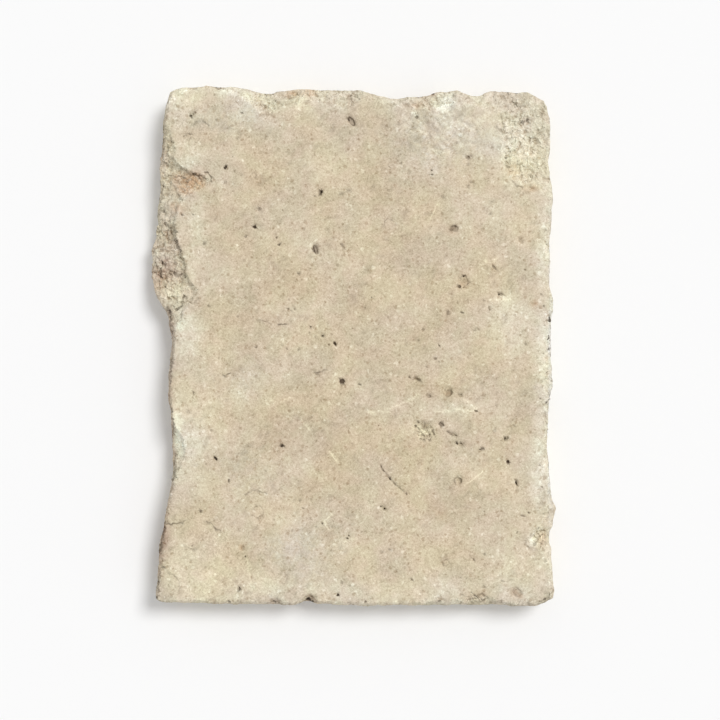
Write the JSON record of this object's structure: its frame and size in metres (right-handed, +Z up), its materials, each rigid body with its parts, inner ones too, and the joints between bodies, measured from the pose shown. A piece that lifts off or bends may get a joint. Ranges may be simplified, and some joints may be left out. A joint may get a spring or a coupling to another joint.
{
  "type": "limestone slab",
  "caption": "Flat rectangular stone slab with a honed top face, broken edges, a worn corner and scattered pits.",
  "frame": {"origin": "centre of the bounding box's base, where the slab rests", "axes": "+Z up from the sawn back to the honed face, +Y along the long side, towards the side with the worn corner, +X towards the side with that corner"},
  "size_m": [0.3158, 0.405, 0.03],
  "materials": {
    "limestone": "honed on top, rough where it is broken"
  },
  "bodies": {
    "root": {"slab": "limestone"}
  },
  "joints": []
}
